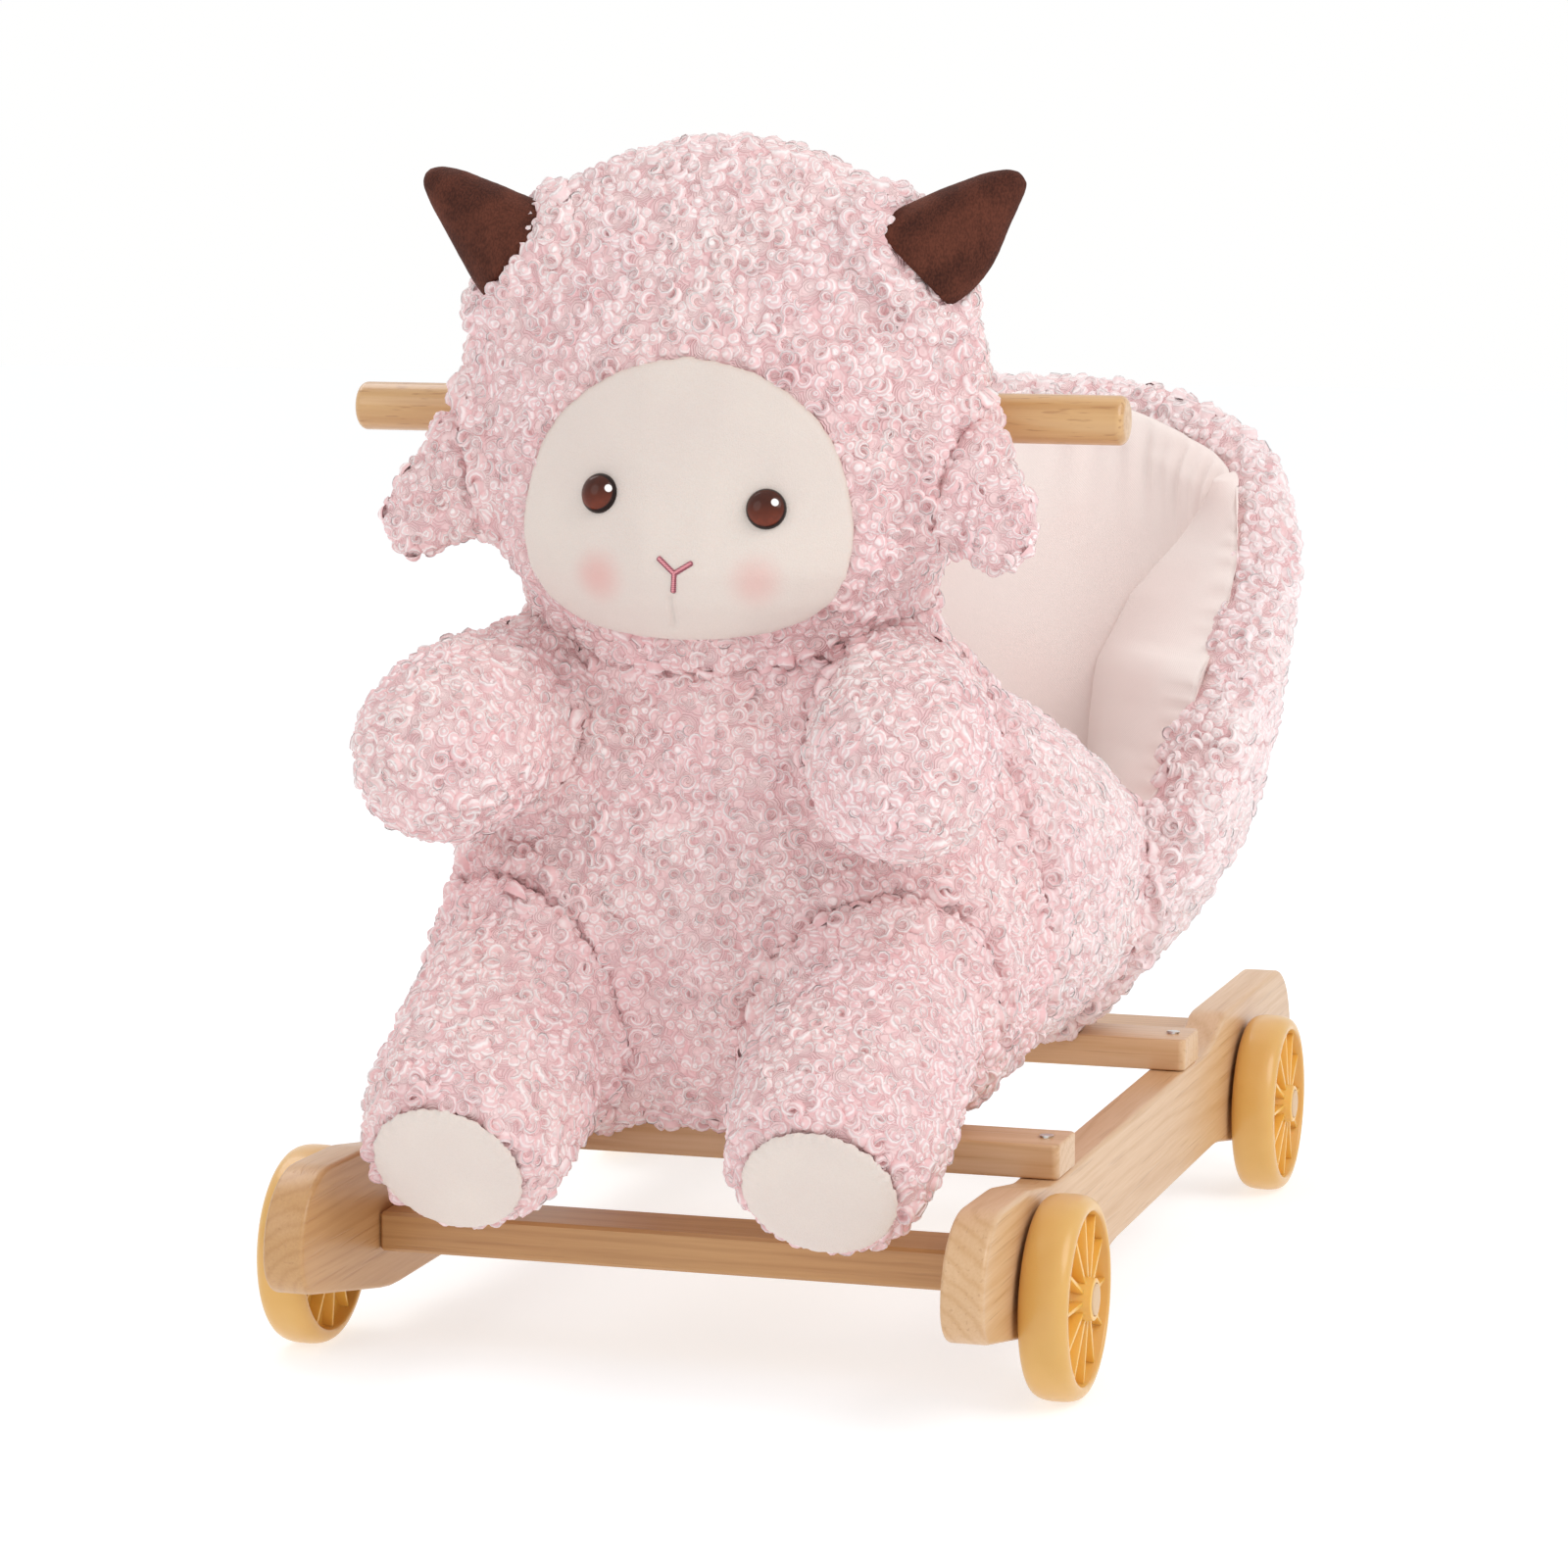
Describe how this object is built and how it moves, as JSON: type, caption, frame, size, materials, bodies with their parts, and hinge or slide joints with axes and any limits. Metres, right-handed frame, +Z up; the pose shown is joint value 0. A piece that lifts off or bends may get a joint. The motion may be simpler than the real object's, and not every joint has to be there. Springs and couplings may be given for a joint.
{
  "type": "plush ride-on lamb on a wheeled wooden base",
  "caption": "A curly pink plush lamb sits on a pine base with honey plastic wheels, with a padded seat shell behind it and a dowel handlebar through its head.",
  "frame": {"origin": "on the ground, under the middle of the side boards", "axes": "+Z up, -Y the way the lamb faces, +X to the lamb's left; the side boards run along Y"},
  "size_m": [0.389, 0.654, 0.541],
  "materials": {
    "pine": "clear lacquer, satin",
    "plywood": "sanded, bare",
    "honey_plastic": "moulded, gloss",
    "cap_plastic": "moulded, satin",
    "steel": "zinc plated",
    "pink_plush": "curled pile plush",
    "cream_velour": "short nap",
    "brown_velour": "short nap",
    "pale_satin": "smooth woven lining, soft sheen",
    "eye_brown": "polished"
  },
  "bodies": {
    "chassis": {"arm_left": "pink_plush", "arm_right": "pink_plush", "axle_bolt_front_left": "steel", "axle_bolt_front_right": "steel", "axle_bolt_rear_left": "steel", "axle_bolt_rear_right": "steel", "back_block": "pine", "back_board": "plywood", "back_lining": "pale_satin", "base_board": "plywood", "base_screw_front_left": "steel", "base_screw_front_right": "steel", "base_screw_rear_left": "steel", "base_screw_rear_right": "steel", "ear_left": "pink_plush", "ear_right": "pink_plush", "eye_left": "eye_brown", "eye_right": "eye_brown", "face_panel": "cream_velour", "front_rail": "pine", "front_slat": "pine", "handle_post": "pine", "handlebar": "pine", "head": "pink_plush", "horn_left": "brown_velour", "horn_right": "brown_velour", "leg_left": "pink_plush", "leg_right": "pink_plush", "rail_screw_front_left": "steel", "rail_screw_front_right": "steel", "rail_screw_rear_left": "steel", "rail_screw_rear_right": "steel", "rear_rail": "pine", "rear_slat": "pine", "saddle": "pink_plush", "seat_shell": "pink_plush", "side_board_left": "pine", "side_board_right": "pine", "slat_screw_front_left": "steel", "slat_screw_front_right": "steel", "slat_screw_rear_left": "steel", "slat_screw_rear_right": "steel", "sole_left": "cream_velour", "sole_right": "cream_velour", "torso": "pink_plush", "washer_front_left": "steel", "washer_front_right": "steel", "washer_rear_left": "steel", "washer_rear_right": "steel", "wing_lining_left": "pale_satin", "wing_lining_right": "pale_satin"},
    "rolling_front_left": {"wheel_front_left": "honey_plastic", "hub_cap_front_left": "cap_plastic"},
    "rolling_front_right": {"wheel_front_right": "honey_plastic", "hub_cap_front_right": "cap_plastic"},
    "rolling_rear_left": {"wheel_rear_left": "honey_plastic", "hub_cap_rear_left": "cap_plastic"},
    "rolling_rear_right": {"wheel_rear_right": "honey_plastic", "hub_cap_rear_right": "cap_plastic"}
  },
  "joints": [
    {"name": "axle_front_left", "type": "hinge", "parent": "chassis", "child": "rolling_front_left", "pos_m": [0.175, -0.236, 0.045], "axis": [1, 0, 0], "continuous": true},
    {"name": "axle_front_right", "type": "hinge", "parent": "chassis", "child": "rolling_front_right", "pos_m": [-0.175, -0.236, 0.045], "axis": [1, 0, 0], "continuous": true},
    {"name": "axle_rear_left", "type": "hinge", "parent": "chassis", "child": "rolling_rear_left", "pos_m": [0.175, 0.204, 0.045], "axis": [1, 0, 0], "continuous": true},
    {"name": "axle_rear_right", "type": "hinge", "parent": "chassis", "child": "rolling_rear_right", "pos_m": [-0.175, 0.204, 0.045], "axis": [1, 0, 0], "continuous": true}
  ]
}
